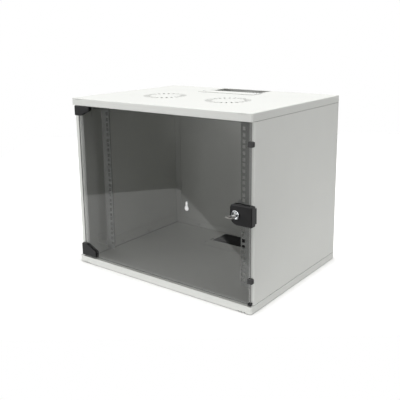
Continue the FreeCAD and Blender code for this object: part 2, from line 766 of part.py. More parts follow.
# ---- lock housing: a moulded clamp on the free edge of the glass ---------------------------------------------------
lock = body("lock_housing")
face = sketch(lock, "XZ", "0 - lock_front")
rectangle(face, "lock_left", "lock_right", "lock_z - lock_height / 2", "lock_z + lock_height / 2")
pad(face, "lock_back + lock_front", away=True)
left, right = value("lock_left"), value("lock_right")
low, high = value("lock_z - lock_height / 2"), value("lock_z + lock_height / 2")
soften(lock, "lock_height * 0.42", lambda e: along(e, "y") and at(e, x=left, z=low))
soften(lock, "lock_height * 0.2", lambda e: along(e, "y") and at(e, x=left, z=high))
soften(lock, "lock_soft * 1.6", lambda e: along(e, "y") and (at(e, x=right, z=high) or at(e, x=right, z=low)))
soften(lock, "lock_soft", lambda e: flat(e, "y", value("0 - lock_front")), "Chamfer")
wrap = sketch(lock, "XZ", "lock_back - 1")
rectangle(wrap, "side + lock_side_gap", "lock_right", "lock_z - lock_height * 0.38", "lock_z + lock_height * 0.38")
pad(wrap, "lock_wrap + 1", away=True)
jaw = sketch(lock, "XY", "lock_z")
rectangle(jaw, "lock_left - 1", "glass_right", "glass_back", "glass_y")
pocket(jaw)
sink = sketch(lock, "XZ", "0 - lock_front")
circle(sink, "axis_x", "lock_z", "barrel_recess")
pocket(sink, "barrel_proud")
bore = sketch(lock, "XZ", "0 - lock_front")
drill(bore, "axis_x", "lock_z", "barrel")
pocket(bore)

# ---- lock barrel, rotor, cam and key: turned about the lock axis ------------------------------------------------------
barrel = body("lock_barrel")
turned = sketch(barrel, "XY", "lock_z", "axis_x", "0")
bore_r = "rotor / 2 + rotor_fit"
nose = "0 - lock_front - barrel_proud"
polygon(turned, [(bore_r, nose), ("barrel_rim / 2 - 1", nose), ("barrel_rim / 2", nose + " + 1"),
                 ("barrel_rim / 2", "barrel_proud - lock_front"), ("barrel / 2", "barrel_proud - lock_front"),
                 ("barrel / 2", "lock_back"), (bore_r, "lock_back")])
revolve(turned, "V_Axis")

rotor = body("lock_rotor")
turned = sketch(rotor, "XY", "lock_z", "axis_x", "0")
polygon(turned, [("0", nose), ("rotor / 2 - 0.5", nose), ("rotor / 2", nose + " + 0.5"),
                 ("rotor / 2", "cam_y"), ("0", "cam_y")])
revolve(turned, "V_Axis")
keyway = sketch(rotor, "XZ", nose)
rectangle(keyway, "axis_x - key_blade / 2 - key_fit", "axis_x + key_blade / 2 + key_fit",
          "lock_z - key_gauge / 2 - key_fit", "lock_z + key_gauge / 2 + key_fit")
pocket(keyway, "key_length + 0.6")

cam = body("lock_cam")
blade = sketch(cam, "XZ", "cam_y", "axis_x", "lock_z")
slot(blade, "0", "0", "cam_length - cam_width / 2", "cam_width")
pad(blade, "cam_gauge", away=True)
bore = sketch(cam, "XZ", "cam_y", "axis_x", "lock_z")
drill(bore, "0", "0", "screw + 2 * screw_gap")
pocket(bore)
cam_screw = pan_screw("cam_screw_template", "cam_gauge")
group("cam_screw", cam_screw, [place(value("axis_x"), value("cam_y + cam_gauge"), value("lock_z"),
                                     FreeCAD.Rotation(UP, V(0, 1, 0)))])

key = body("lock_key")
stem = sketch(key, "XY", "lock_z - key_gauge / 2", "axis_x", "0")
rectangle(stem, "0 - key_blade / 2", "key_blade / 2", nose + " - key_neck - 1", nose + " + key_length")
pad(stem, "key_gauge")
bow = sketch(key, "XY", "lock_z - key_gauge / 2", "axis_x", "0")
rectangle(bow, "0 - key_bow / 2", "key_bow / 2", nose + " - key_neck - key_bow_length", nose + " - key_neck")
pad(bow, "key_gauge")
ends = [value(nose + " - key_neck"), value(nose + " - key_neck - key_bow_length")]
tips = [(value("axis_x") + s * value("key_bow") / 2, y) for s in (1, -1) for y in ends]
soften(key, "key_bow_length * 0.3", lambda e: along(e, "z") and any(at(e, x=x, y=y) for x, y in tips))
eye = sketch(key, "XY", "lock_z - key_gauge / 2", "axis_x", nose + " - key_neck - key_bow_length * 0.62")
circle(eye, "0", "0", "key_bow_length * 0.3")
pocket(eye)

# ---- rubber buffers and the corner cap on the glass edge -----------------------------------------------------------------
clip = body("buffer_template")
block = sketch(clip, "XY", "0 - buffer_size / 2")
rectangle(block, "glass_right - buffer_grip", "glass_right + buffer_wall", "glass_back - buffer_front",
          "setback - buffer_gap")
pad(block, "buffer_size")
soften(clip, "buffer_size * 0.3", lambda e: flat(e, "x", value("glass_right + buffer_wall")))
jaw = sketch(clip, "XY", "0")
rectangle(jaw, "glass_right - buffer_grip - 1", "glass_right", "glass_back", "glass_y")
pocket(jaw)
group("edge_buffers", clip, [place(0, 0, value("buffer_low")), place(0, 0, value("height - buffer_top"))])

cap = body("corner_cap")
block = sketch(cap, "XZ", "glass_back - buffer_front")
rectangle(block, "glass_right - cap_width * 0.7", "glass_right + cap_width * 0.3",
          "glass_low - cap_height * 0.28", "glass_low + cap_height * 0.72")
pad(block, "glass + buffer_front * 3", away=True)
soften(cap, "buffer_front", lambda e: along(e, "y") and at(e, x=value("glass_right + cap_width * 0.3")))
jaw = sketch(cap, "XZ", "glass_back")
rectangle(jaw, "glass_right - cap_width", "glass_right", "glass_low", "glass_low + cap_height")
pocket(jaw, "glass")

# ---- checks and files ---------------------------------------------------------------------------------------------------
doc.recompute()
for thing in doc.Objects:
    assert "Invalid" not in thing.State and "Error" not in thing.State, thing.Label + " failed"
pieces = [t for t in doc.Objects if t.isDerivedFrom("PartDesign::Body") or t.TypeId == "Part::Mirroring"]
pieces += [t for t in doc.Objects if t.TypeId in ("Part::Feature", "Part::Compound")]
for piece in pieces:
    if piece.Label.endswith("_template"):
        continue
    shape = piece.Shape
    assert not shape.isNull() and shape.isValid(), piece.Label + " has no valid shape"
    shape.exportStep("parts/%s.step" % piece.Label)
    box = shape.BoundBox
    print("%-24s %3d solids  x %.1f..%.1f  y %.1f..%.1f  z %.1f..%.1f" % (
        piece.Label, len(shape.Solids), box.XMin, box.XMax, box.YMin, box.YMax, box.ZMin, box.ZMax))
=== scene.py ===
"""Wall-mount 9U network cabinet: light grey powder-coated steel, smoked glass door, key lock."""
import math

import bmesh
import bpy
from mathutils import Matrix, Vector


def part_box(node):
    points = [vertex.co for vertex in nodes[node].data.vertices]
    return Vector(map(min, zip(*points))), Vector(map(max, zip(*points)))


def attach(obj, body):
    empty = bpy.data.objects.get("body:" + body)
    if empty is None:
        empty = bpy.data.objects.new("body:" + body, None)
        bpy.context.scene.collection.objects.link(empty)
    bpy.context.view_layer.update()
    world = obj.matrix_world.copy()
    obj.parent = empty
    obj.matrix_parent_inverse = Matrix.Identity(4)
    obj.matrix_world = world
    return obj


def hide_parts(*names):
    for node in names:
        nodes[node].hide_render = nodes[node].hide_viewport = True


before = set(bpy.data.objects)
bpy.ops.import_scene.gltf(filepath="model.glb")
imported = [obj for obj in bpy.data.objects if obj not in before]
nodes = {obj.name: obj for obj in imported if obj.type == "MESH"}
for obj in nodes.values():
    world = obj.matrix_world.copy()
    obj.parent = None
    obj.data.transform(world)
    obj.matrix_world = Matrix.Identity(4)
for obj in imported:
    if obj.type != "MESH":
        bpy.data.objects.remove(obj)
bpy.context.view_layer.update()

# ---- Studio camera ----------------------------------------------------------------------------
# A short portrait lens on a stand, to the right of the cabinet and a little above it.
# The lens is shifted by a tenth of the frame, which keeps the cabinet's walls upright.
pan, look_down, roll = 36.866, 12.263, -0.548  # degrees

camera = bpy.data.objects.new("studio_camera", bpy.data.cameras.new("studio_camera"))
bpy.context.collection.objects.link(camera)
camera.location = (1.0052, -1.3303, 0.6649)
aim = Matrix.Rotation(math.radians(pan), 4, "Z")
aim @= Matrix.Rotation(math.radians(90 - look_down), 4, "X")
aim @= Matrix.Rotation(math.radians(roll), 4, "Z")
camera.rotation_euler = aim.to_euler()
camera.data.sensor_width = 36
camera.data.lens = 53.62
camera.data.shift_x = -0.02
camera.data.shift_y = -0.10
camera.data.clip_start = 0.02
camera.data.clip_end = 60
bpy.context.scene.camera = camera
bpy.context.scene.view_settings.view_transform = "Standard"

# ---- White table in a dim studio --------------------------------------------------------------
# A matt white table top carries the cabinet, turned with the camera; its edges show in the glass.
# Below and beyond it the studio is dark to reflections and white to the camera.
FACTOR, COLOUR_A, COLOUR_B, MIXED = 0, 6, 7, 2  # places of the sockets of a Mix node for colours


def srgb(code):
    """A hex colour such as 'D7D8D4' as the linear RGBA that Blender's sockets take."""
    parts = [int(code[i:i + 2], 16) / 255 for i in (0, 2, 4)]
    return [p / 12.92 if p <= 0.04045 else ((p + 0.055) / 1.055) ** 2.4 for p in parts] + [1.0]


def add_node(tree, kind, settings=None, links=None):
    """One node with its settings (properties or socket values) and its incoming links."""
    node = tree.nodes.new(kind)
    for name, content in (settings or {}).items():
        if isinstance(name, str) and hasattr(node, name):
            setattr(node, name, content)
        else:
            node.inputs[name].default_value = content
    for name, source in (links or {}).items():
        tree.links.new(source, node.inputs[name])
    return node


def new_material(name):
    """An empty node material, its tree and its output node."""
    made = bpy.data.materials.new(name)
    made.use_nodes = True
    made.node_tree.nodes.clear()
    return made, made.node_tree, add_node(made.node_tree, "ShaderNodeOutputMaterial")


def new_piece(name, mesh_source, material):
    """An object from a bmesh, with its material; the bmesh is used up."""
    mesh = bpy.data.meshes.new(name)
    mesh_source.to_mesh(mesh)
    mesh_source.free()
    piece = bpy.data.objects.new(name, mesh)
    bpy.context.collection.objects.link(piece)
    mesh.materials.append(material)
    return piece


def sheet_of(name, centre, along, across, turn, material):
    """A flat rectangle of the studio, turned about the vertical."""
    flat = bmesh.new()
    spin = Matrix.Rotation(turn, 3, "Z")
    corners = [Vector((along / 2 * x, across / 2 * y, 0))
               for x, y in ((-1, -1), (1, -1), (1, 1), (-1, 1))]
    flat.faces.new([flat.verts.new(Vector(centre) + spin @ corner) for corner in corners])
    new_piece(name, flat, material)


table_grain = 900.0  # to the metre: a rolled paint's grain of 1.1 mm
mirrored_glow = 0.48  # how far the glass shows the table above its lit tone
foot_shade_reach = 0.028  # where the glow fades round the bottom panel: painted shade over the real shadow
glow_at_foot, glow_clear = 0.02, 0.33  # added in sight at the panel, and beyond that width

table_white, tree, out = new_material("matt_white_table")
grain = add_node(tree, "ShaderNodeTexNoise", {"Scale": table_grain, "Detail": 3.0})
seen = add_node(tree, "ShaderNodeLightPath")
in_sight = add_node(tree, "ShaderNodeMath", {"operation": "MAXIMUM"},
                    {0: seen.outputs["Is Camera Ray"], 1: seen.outputs["Is Transmission Ray"]})
tone = add_node(tree, "ShaderNodeMix",
                {"data_type": "RGBA", COLOUR_A: srgb("C9C9C8"), COLOUR_B: srgb("CDCDCC")},
                {FACTOR: grain.outputs["Fac"]})
bright = add_node(tree, "ShaderNodeMix", {"data_type": "RGBA", COLOUR_B: srgb("F6F6F5")},
                  {FACTOR: in_sight.outputs[0], COLOUR_A: tone.outputs[MIXED]})
board = add_node(tree, "ShaderNodeBsdfPrincipled", {"Roughness": 0.8, "Specular IOR Level": 0.1},
                 {"Base Color": bright.outputs[MIXED]})
mirrored = add_node(tree, "ShaderNodeMath", {"operation": "MULTIPLY", 1: mirrored_glow},
                    {0: seen.outputs["Is Glossy Ray"]})
spot = add_node(tree, "ShaderNodeTexCoord")
axes = add_node(tree, "ShaderNodeSeparateXYZ", None, {0: spot.outputs["Object"]})
panel_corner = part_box("bottom_panel")[1]
beside = []
for axis, reach in (("X", panel_corner[0]), ("Y", panel_corner[1])):
    away = add_node(tree, "ShaderNodeMath", {"operation": "ABSOLUTE"}, {0: axes.outputs[axis]})
    beside.append(add_node(tree, "ShaderNodeMath", {"operation": "SUBTRACT", 1: reach},
                           {0: away.outputs[0]}))
nearest = add_node(tree, "ShaderNodeMath", {"operation": "MAXIMUM"},
                   {0: beside[0].outputs[0], 1: beside[1].outputs[0]})
# The glow fades towards the bottom panel: painted shade round the cabinet's foot, over its real
# shadow.
clear = add_node(tree, "ShaderNodeMapRange",
                 {"From Min": 0.0, "From Max": foot_shade_reach,
                  "To Min": glow_at_foot, "To Max": glow_clear}, {0: nearest.outputs[0]})
lift = add_node(tree, "ShaderNodeMath", {"operation": "MULTIPLY_ADD"},
                {0: in_sight.outputs[0], 1: clear.outputs[0], 2: mirrored.outputs[0]})
paler = add_node(tree, "ShaderNodeEmission", None, {"Strength": lift.outputs[0]})
lit = add_node(tree, "ShaderNodeAddShader", None, {0: board.outputs[0], 1: paler.outputs[0]})
tree.links.new(lit.outputs[0], out.inputs[0])

studio_dark, tree, out = new_material("studio_beyond_the_table")
seen = add_node(tree, "ShaderNodeLightPath")
carpet = add_node(tree, "ShaderNodeBsdfPrincipled",
                  {"Base Color": srgb("3A3A3A"), "Roughness": 0.9})
glow = add_node(tree, "ShaderNodeEmission", {"Color": (1, 1, 1, 1), "Strength": 1.0})
in_sight = add_node(tree, "ShaderNodeMath", {"operation": "MAXIMUM"},
                    {0: seen.outputs["Is Camera Ray"], 1: seen.outputs["Is Transmission Ray"]})
choice = add_node(tree, "ShaderNodeMixShader", None,
                  {0: in_sight.outputs[0], 1: carpet.outputs[0], 2: glow.outputs[0]})
tree.links.new(choice.outputs[0], out.inputs[0])

table_turn = math.radians(37.3)
table_long, table_deep = 4.0, 2.6
front_left = Vector((-0.600, -1.031, 0.0))
floor_side, floor_drop = 40, 0.002
right = Vector((math.cos(table_turn), math.sin(table_turn), 0))
back = Vector((-math.sin(table_turn), math.cos(table_turn), 0))
sheet_of("table_top", front_left + right * table_long / 2 + back * table_deep / 2,
         table_long, table_deep, table_turn, table_white)
sheet_of("studio_floor", (0, 0, -floor_drop), floor_side, floor_side, 0, studio_dark)

# ---- Painted shade under the cabinet ----------------------------------------------------------
# A near-black sheet lies on the table below the rear of the cabinet, as painted shade.
# The bottom cable entry looks down on it, into the dark.
shade_sheet_wide, shade_sheet_deep, shade_sheet_inset = 0.30, 0.11, 0.06
shade_sheet_lift = 0.0001  # clear of the table top
shade_sheet_grain = 700.0  # to the metre: a mottle of 1.4 mm

# The sheet's near-black colour paints the shade that lies under the cabinet.
shade_sheet_material, tree, out = new_material("painted_shade_sheet")
spot = add_node(tree, "ShaderNodeTexCoord")
shade_sheet_mottle = add_node(tree, "ShaderNodeTexNoise", {"Scale": shade_sheet_grain, "Detail": 4.0},
                 {"Vector": spot.outputs["Object"]})
tone = add_node(tree, "ShaderNodeMix",
                {"data_type": "RGBA", COLOUR_A: srgb("0E0E0E"), COLOUR_B: srgb("161616")},
                {FACTOR: shade_sheet_mottle.outputs["Fac"]})
shade_sheet_surface = add_node(tree, "ShaderNodeBsdfPrincipled", {"Roughness": 0.95, "Specular IOR Level": 0.05},
                {"Base Color": tone.outputs[MIXED]})
tree.links.new(shade_sheet_surface.outputs[0], out.inputs[0])
sheet_of("painted_shade_under_the_entry", (0, panel_corner[1] - shade_sheet_inset, shade_sheet_lift),
         shade_sheet_wide, shade_sheet_deep, 0, shade_sheet_material)

# ---- Studio light -----------------------------------------------------------------------------
# A big overhead softbox, a key from the front left, a low strip that looks into the cabinet from
# far off, and a fill on the right side. The air of the studio adds a trace of light from all
# round, and is white where it is looked at or mirrored.
world = bpy.data.worlds.new("studio_air")
bpy.context.scene.world = world
world.use_nodes = True
tree = world.node_tree
tree.nodes.clear()
seen = add_node(tree, "ShaderNodeLightPath")
mirror_or_camera = add_node(tree, "ShaderNodeMath", {"operation": "MAXIMUM"},
                            {0: seen.outputs["Is Camera Ray"], 1: seen.outputs["Is Glossy Ray"]})
in_sight = add_node(tree, "ShaderNodeMath", {"operation": "MAXIMUM"},
                    {0: mirror_or_camera.outputs[0], 1: seen.outputs["Is Transmission Ray"]})
ambient = add_node(tree, "ShaderNodeBackground", {"Color": srgb("F4F6F8"), "Strength": 0.02})
white = add_node(tree, "ShaderNodeBackground", {"Color": (1, 1, 1, 1), "Strength": 1.0})
mixed = add_node(tree, "ShaderNodeMixShader", None,
                 {0: in_sight.outputs[0], 1: ambient.outputs[0], 2: white.outputs[0]})
add_node(tree, "ShaderNodeOutputWorld", None, {0: mixed.outputs[0]})

for name, place, aim_at, wide, high, watts in (
        ("overhead_softbox", (0.0, 0.0, 4.2), (0, 0, 0.4), 5.0, 5.0, 224),
        ("front_left_key", (-2.4, -2.8, 1.2), (0, -0.1, 0.25), 1.6, 1.6, 38),
        ("low_front_strip", (0.15, -6.0, 0.5), (0, 0, 0.25), 2.4, 0.8, 123),
        ("side_fill", (2.9, -0.7, 1.5), (0.2, 0, 0.25), 1.8, 1.8, 36)):
    lamp = bpy.data.objects.new(name, bpy.data.lights.new(name, "AREA"))
    lamp.data.shape = "RECTANGLE"
    lamp.data.size, lamp.data.size_y, lamp.data.energy = wide, high, watts
    lamp.location = place
    lamp.rotation_euler = (Vector(aim_at) - Vector(place)).to_track_quat("-Z", "Y").to_euler()
    bpy.context.collection.objects.link(lamp)

# ---- Steel panels, rails and cable covers -----------------------------------------------------
# Folded 1.2 mm sheet with a grey polyester powder coat, sprayed and baked to a soft satin face
# with a fine pebble; the rails take a darker copy of it, as painted shade. Seams, slots and
# inside corners are darkened by how closed in they are, which is painted shade too.
pebble_grain = 1600.0  # to the metre: 0.6 mm
speck_grain = 420.0  # specks of 2.4 mm
cloud_grain = 9.0  # drifts of the grey, 110 mm across
painted_shade_reach = 0.004  # how near an inside corner the painted shade reaches


def powder_coat(name, grey, other_grey):
    """A sprayed coat that drifts between two greys, with painted shade in its seams and inside
    corners.
    """
    made, tree, out = new_material(name)
    spot = add_node(tree, "ShaderNodeTexCoord").outputs["Object"]
    pebble = add_node(tree, "ShaderNodeTexNoise",
                      {"Scale": pebble_grain, "Detail": 2.0, "Roughness": 0.5}, {"Vector": spot})
    cloud = add_node(tree, "ShaderNodeTexNoise",
                     {"Scale": cloud_grain, "Detail": 3.0, "Roughness": 0.55}, {"Vector": spot})
    speck = add_node(tree, "ShaderNodeTexNoise",
                     {"Scale": speck_grain, "Detail": 1.0}, {"Vector": spot})
    shade = add_node(tree, "ShaderNodeMix",
                     {"data_type": "RGBA", COLOUR_A: srgb(grey), COLOUR_B: srgb(other_grey)},
                     {FACTOR: cloud.outputs["Fac"]})
    flecked = add_node(tree, "ShaderNodeMix",
                       {"data_type": "RGBA", "blend_type": "SOFT_LIGHT", FACTOR: 0.06},
                       {COLOUR_A: shade.outputs[MIXED], COLOUR_B: speck.outputs["Color"]})
    # Painted shade: the colour is darkened to 22% where the surface is closed in within a few mm.
    closed_in = add_node(tree, "ShaderNodeAmbientOcclusion", {"Distance": painted_shade_reach})
    painted_shade = add_node(tree, "ShaderNodeMapRange",
                     {"From Min": 0.25, "From Max": 0.75, "To Min": 0.22, "To Max": 1.0},
                     {0: closed_in.outputs["AO"]})
    coat_with_painted_shade = add_node(tree, "ShaderNodeMix",
                       {"data_type": "RGBA", "blend_type": "MULTIPLY", FACTOR: 1.0},
                       {COLOUR_A: flecked.outputs[MIXED], COLOUR_B: painted_shade.outputs[0]})
    satin = add_node(tree, "ShaderNodeMapRange", {"To Min": 0.42, "To Max": 0.54},
                     {0: cloud.outputs["Fac"]})
    bump = add_node(tree, "ShaderNodeBump", {"Strength": 0.25, "Distance": 0.00006},
                    {"Height": pebble.outputs["Fac"]})
    coat = add_node(tree, "ShaderNodeBsdfPrincipled", {"IOR": 1.5, "Specular IOR Level": 0.45},
                    {"Base Color": coat_with_painted_shade.outputs[MIXED], "Roughness": satin.outputs[0],
                     "Normal": bump.outputs[0]})
    tree.links.new(coat.outputs[0], out.inputs[0])
    return made


cabinet_paint = powder_coat("powder_coated_steel_light_grey", "D8D9D5", "DEDFDB")
# The rails get the same coat in darker greys: painted shade for where they stand inside the
# cabinet.
rail_coat_painted_darker = powder_coat("powder_coated_steel_grey_painted_shade", "A8AAA7", "AFB1AE")
for name in ("top_panel", "bottom_panel", "side_panel_left", "side_panel_right", "back_panel",
             "rail_feet", "cable_cover_top", "cable_cover_bottom"):
    nodes[name].data.materials[0] = cabinet_paint
for name in ("rack_rail_left", "rack_rail_right"):
    nodes[name].data.materials[0] = rail_coat_painted_darker

# ---- Zinc-plated screws, nuts, pins and cam ---------------------------------------------------
# Cold-headed M4 machine screws with pan heads and cross recesses, in blue-passivated zinc, which
# leaves a soft grey shine with faint cloudy patches. The nuts, the hinge pins and the stamped
# lock cam have the same plating.
head_share = 2.2 / 7.6  # height of an M4 pan head to its width
shank_share = 0.526  # 4 mm of thread to the same width
patch_grain = 500.0  # to the metre: patches of 2 mm

zinc, tree, out = new_material("zinc_plated_steel")
spot = add_node(tree, "ShaderNodeTexCoord")
patch = add_node(tree, "ShaderNodeTexNoise", {"Scale": patch_grain, "Detail": 4.0},
                 {"Vector": spot.outputs["Object"]})
shade = add_node(tree, "ShaderNodeMix",
                 {"data_type": "RGBA", COLOUR_A: srgb("B9BBBC"), COLOUR_B: srgb("D0D1CF")},
                 {FACTOR: patch.outputs["Fac"]})
dull = add_node(tree, "ShaderNodeMapRange", {"To Min": 0.25, "To Max": 0.42},
                {0: patch.outputs["Fac"]})
plate = add_node(tree, "ShaderNodeBsdfPrincipled", {"Metallic": 1.0},
                 {"Base Color": shade.outputs[MIXED], "Roughness": dull.outputs[0]})
tree.links.new(plate.outputs[0], out.inputs[0])
for name in ("rail_nuts", "cover_nuts_top", "hinge_pins", "lock_cam"):
    nodes[name].data.materials[0] = zinc


def welded(name):
    """A bmesh copy of a node with its split corners joined."""
    made = bmesh.new()
    made.from_mesh(nodes[name].data)
    bmesh.ops.remove_doubles(made, verts=made.verts, dist=1e-6)
    return made


def solids_of(name):
    """The lowest and highest corner of each separate solid of a node."""
    mesh, boxes = welded(name), []
    left = set(mesh.verts)
    while left:
        found, edge_of = set(), [left.pop()]
        while edge_of:
            vert = edge_of.pop()
            found.add(vert)
            for edge in vert.link_edges:
                other = edge.other_vert(vert)
                if other in left:
                    left.discard(other)
                    edge_of.append(other)
        places = [vert.co for vert in found]
        boxes.append([Vector(pick(place[i] for place in places) for i in range(3))
                      for pick in (min, max)])
    mesh.free()
    return sorted(boxes, key=lambda box: tuple(round(c, 4) for c in box[0]))


def lathe(mesh, profile, steps, place):
    """A turned surface: the (radius, height) points go round local Z; radius 0 closes an end."""
    turns = [math.tau * i / steps for i in range(steps)]
    rings = []
    for radius, height in profile:
        ring = [(radius * math.cos(a), radius * math.sin(a)) for a in turns]
        rings.append([mesh.verts.new(place @ Vector((x, y, height)))
                      for x, y in (ring if radius else [(0, 0)])])
    for low, high in zip(rings, rings[1:]):
        for i in range(steps):
            corners = [low[i % len(low)], low[(i + 1) % len(low)],
                       high[(i + 1) % len(high)], high[i % len(high)]]
            mesh.faces.new(list(dict.fromkeys(corners))).smooth = True
    return rings


def fill_between(mesh, outer, inner):
    """Flat faces between two closed loops of corners, one inside the other."""
    edges = []
    for loop in (outer, inner):
        for one, two in zip(loop, loop[1:] + loop[:1]):
            edges.append(mesh.edges.get((one, two)) or mesh.edges.new((one, two)))
    return bmesh.ops.triangle_fill(mesh, use_beauty=True, edges=edges)["geom"]


def machine_screw(mesh, seat, way, head, length):
    """A pan-head screw: domed head, cross recess, threaded shank; way points out of the head."""
    place = Matrix.Translation(seat) @ way.to_track_quat("Z", "Y").to_matrix().to_4x4()
    radius, rise, core = head / 2, head * head_share, head * shank_share / 2
    pitch, root, tip = core * 0.35, core * 0.86, core * 0.8
    thread = []
    for i in range(int(length / pitch)):
        thread += [(core, -pitch * i), (root, -pitch * (i + 0.5))]
    lathe(mesh, thread + [(tip, -length), (0, -length)], 14, place)
    dome = [(radius * r, rise * z) for r, z in (
        (0.93, 0.0), (1.0, 0.10), (1.0, 0.42), (0.95, 0.68), (0.84, 0.87), (0.68, 0.97),
        (0.56, 1.0))]
    lathe(mesh, [(core, 0), dome[0]], 24, place)
    rim = lathe(mesh, dome, 24, place)[-1]
    arm, half = radius * 0.46, radius * 0.11
    cross = [(arm, -half), (arm, half), (half, half), (half, arm), (-half, arm), (-half, half),
             (-arm, half), (-arm, -half), (-half, -half), (-half, -arm), (half, -arm),
             (half, -half)]
    taper, floor_at = 0.7, rise * 0.35
    mouth = [mesh.verts.new(place @ Vector((x, y, rise))) for x, y in cross]
    floor = [mesh.verts.new(place @ Vector((x * taper, y * taper, floor_at))) for x, y in cross]
    fill_between(mesh, rim, mouth)
    for i in range(len(cross)):
        mesh.faces.new([mouth[i], mouth[i - 1], floor[i - 1], floor[i]])
    mesh.faces.new(floor[::-1])


def screw_set(name, body, heads_look=None):
    """Detailed screws where a node has its plain ones; their heads look inward, or as told."""
    mesh = bmesh.new()
    for low, high in solids_of(name):
        middle, span = (low + high) / 2, high - low
        way = Vector(heads_look or (-1 if middle.x > 0 else 1, 0, 0))
        axis = max(range(3), key=lambda i: abs(way[i]))
        head = max(span[i] for i in range(3) if i != axis)
        rise = head * head_share
        seat = middle.copy()
        seat[axis] = (high[axis] if way[axis] > 0 else low[axis]) - way[axis] * rise
        machine_screw(mesh, seat, way, head, span[axis] - rise)
    bmesh.ops.recalc_face_normals(mesh, faces=mesh.faces)
    piece = new_piece(name + "_detailed", mesh, zinc)
    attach(piece, body)
    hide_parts(name)


screw_set("panel_screws", "cabinet")
screw_set("rail_screws", "cabinet")
screw_set("back_panel_screws", "cabinet", (0, -1, 0))
screw_set("cover_screws_top", "cover_top", (0, 0, 1))
screw_set("cover_screws_bottom", "cover_bottom", (0, 0, 1))
screw_set("cam_screw", "lock", (0, 1, 0))

# ---- Smoked glass door ------------------------------------------------------------------------
# One pane of 4 mm toughened glass, tinted grey in the mass, with ground and polished edges.
# The face is clear and shiny, and mirrors more than plain glass, so its IOR is above the usual
# 1.52; the ground rim is dull and nearly closed.
clear_share, rim_share = 0.272, 0.80  # how much of what lies behind the tint holds back
ground_roughness = 0.35

smoked_glass, tree, out = new_material("toughened_smoked_glass")
spot = add_node(tree, "ShaderNodeTexCoord")
facing = add_node(tree, "ShaderNodeSeparateXYZ", None, {0: spot.outputs["Normal"]})
front_share = add_node(tree, "ShaderNodeMath", {"operation": "ABSOLUTE"},
                       {0: facing.outputs["Y"]})
rim = add_node(tree, "ShaderNodeMapRange", {"From Min": 0.95, "From Max": 0.85},
               {0: front_share.outputs[0]})
tint = add_node(tree, "ShaderNodeMix",
                {"data_type": "RGBA", COLOUR_A: srgb("141514"), COLOUR_B: srgb("4A4E4B")},
                {FACTOR: rim.outputs[0]})
held_back = add_node(tree, "ShaderNodeMapRange", {"To Min": clear_share, "To Max": rim_share},
                     {0: rim.outputs[0]})
polish = add_node(tree, "ShaderNodeMapRange", {"To Min": 0.0, "To Max": ground_roughness},
                  {0: rim.outputs[0]})
pane = add_node(tree, "ShaderNodeBsdfPrincipled", {"IOR": 1.95},
                {"Base Color": tint.outputs[MIXED], "Alpha": held_back.outputs[0],
                 "Roughness": polish.outputs[0]})
tree.links.new(pane.outputs[0], out.inputs[0])
nodes["door_glass"].data.materials[0] = smoked_glass

# ---- Moulded hinges, lock housing and corner cap ----------------------------------------------
# Glass-filled nylon, injection moulded in black and clamped on the pane.
# The tool leaves a fine eroded grain and soft edges, and the flow of the melt faint streaks.
erosion_grain = 1400.0  # to the metre: 0.7 mm
flow_grain = 60.0  # streaks of 17 mm

black_nylon, tree, out = new_material("moulded_black_nylon")
spot = add_node(tree, "ShaderNodeTexCoord")
grain = add_node(tree, "ShaderNodeTexNoise", {"Scale": erosion_grain, "Detail": 3.0},
                 {"Vector": spot.outputs["Object"]})
flow = add_node(tree, "ShaderNodeTexNoise", {"Scale": flow_grain, "Detail": 2.0},
                {"Vector": spot.outputs["Object"]})
shade = add_node(tree, "ShaderNodeMix",
                 {"data_type": "RGBA", COLOUR_A: srgb("161617"), COLOUR_B: srgb("1C1C1D")},
                 {FACTOR: flow.outputs["Fac"]})
satin = add_node(tree, "ShaderNodeMapRange", {"To Min": 0.36, "To Max": 0.5},
                 {0: flow.outputs["Fac"]})
bump = add_node(tree, "ShaderNodeBump", {"Strength": 0.3, "Distance": 0.00005},
                {"Height": grain.outputs["Fac"]})
nylon = add_node(tree, "ShaderNodeBsdfPrincipled", {"IOR": 1.53, "Specular IOR Level": 0.22},
                 {"Base Color": shade.outputs[MIXED], "Roughness": satin.outputs[0],
                  "Normal": bump.outputs[0]})
tree.links.new(nylon.outputs[0], out.inputs[0])


def round_edges(mesh, sharp_degrees, radius, steps):
    """Rounds the edges of a closed mesh that turn by more than an angle."""
    bmesh.ops.dissolve_limit(mesh, angle_limit=math.radians(1.5), verts=mesh.verts,
                             edges=mesh.edges)
    sharp = [edge for edge in mesh.edges if len(edge.link_faces) == 2
             and edge.calc_face_angle() > math.radians(sharp_degrees)]
    bmesh.ops.bevel(mesh, geom=sharp, offset=radius, segments=steps, profile=0.5,
                    affect="EDGES", clamp_overlap=True)


def softened(name, material, radius, steps):
    """A copy of a part of the door whose sharp edges are rounded, as a mould leaves them."""
    mesh = welded(name)
    round_edges(mesh, 24, radius, steps)
    for face in mesh.faces:
        face.smooth = True
    piece = new_piece(name + "_moulded", mesh, material)
    normals = piece.modifiers.new("even_shading", "WEIGHTED_NORMAL")
    normals.keep_sharp = True
    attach(piece, "door")
    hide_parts(name)


for name, radius in (("hinge_upper", 0.0006), ("hinge_lower", 0.0006), ("lock_housing", 0.0006),
                     ("corner_cap", 0.0005)):
    softened(name, black_nylon, radius, 3)

# ---- Rubber buffers ---------------------------------------------------------------------------
# Moulded black EPDM, pushed over the free edge of the pane; it meets the flange when the door
# shuts. Rubber is matt, with a dry bloom.
bloom_grain = 300.0  # to the metre: 3.3 mm

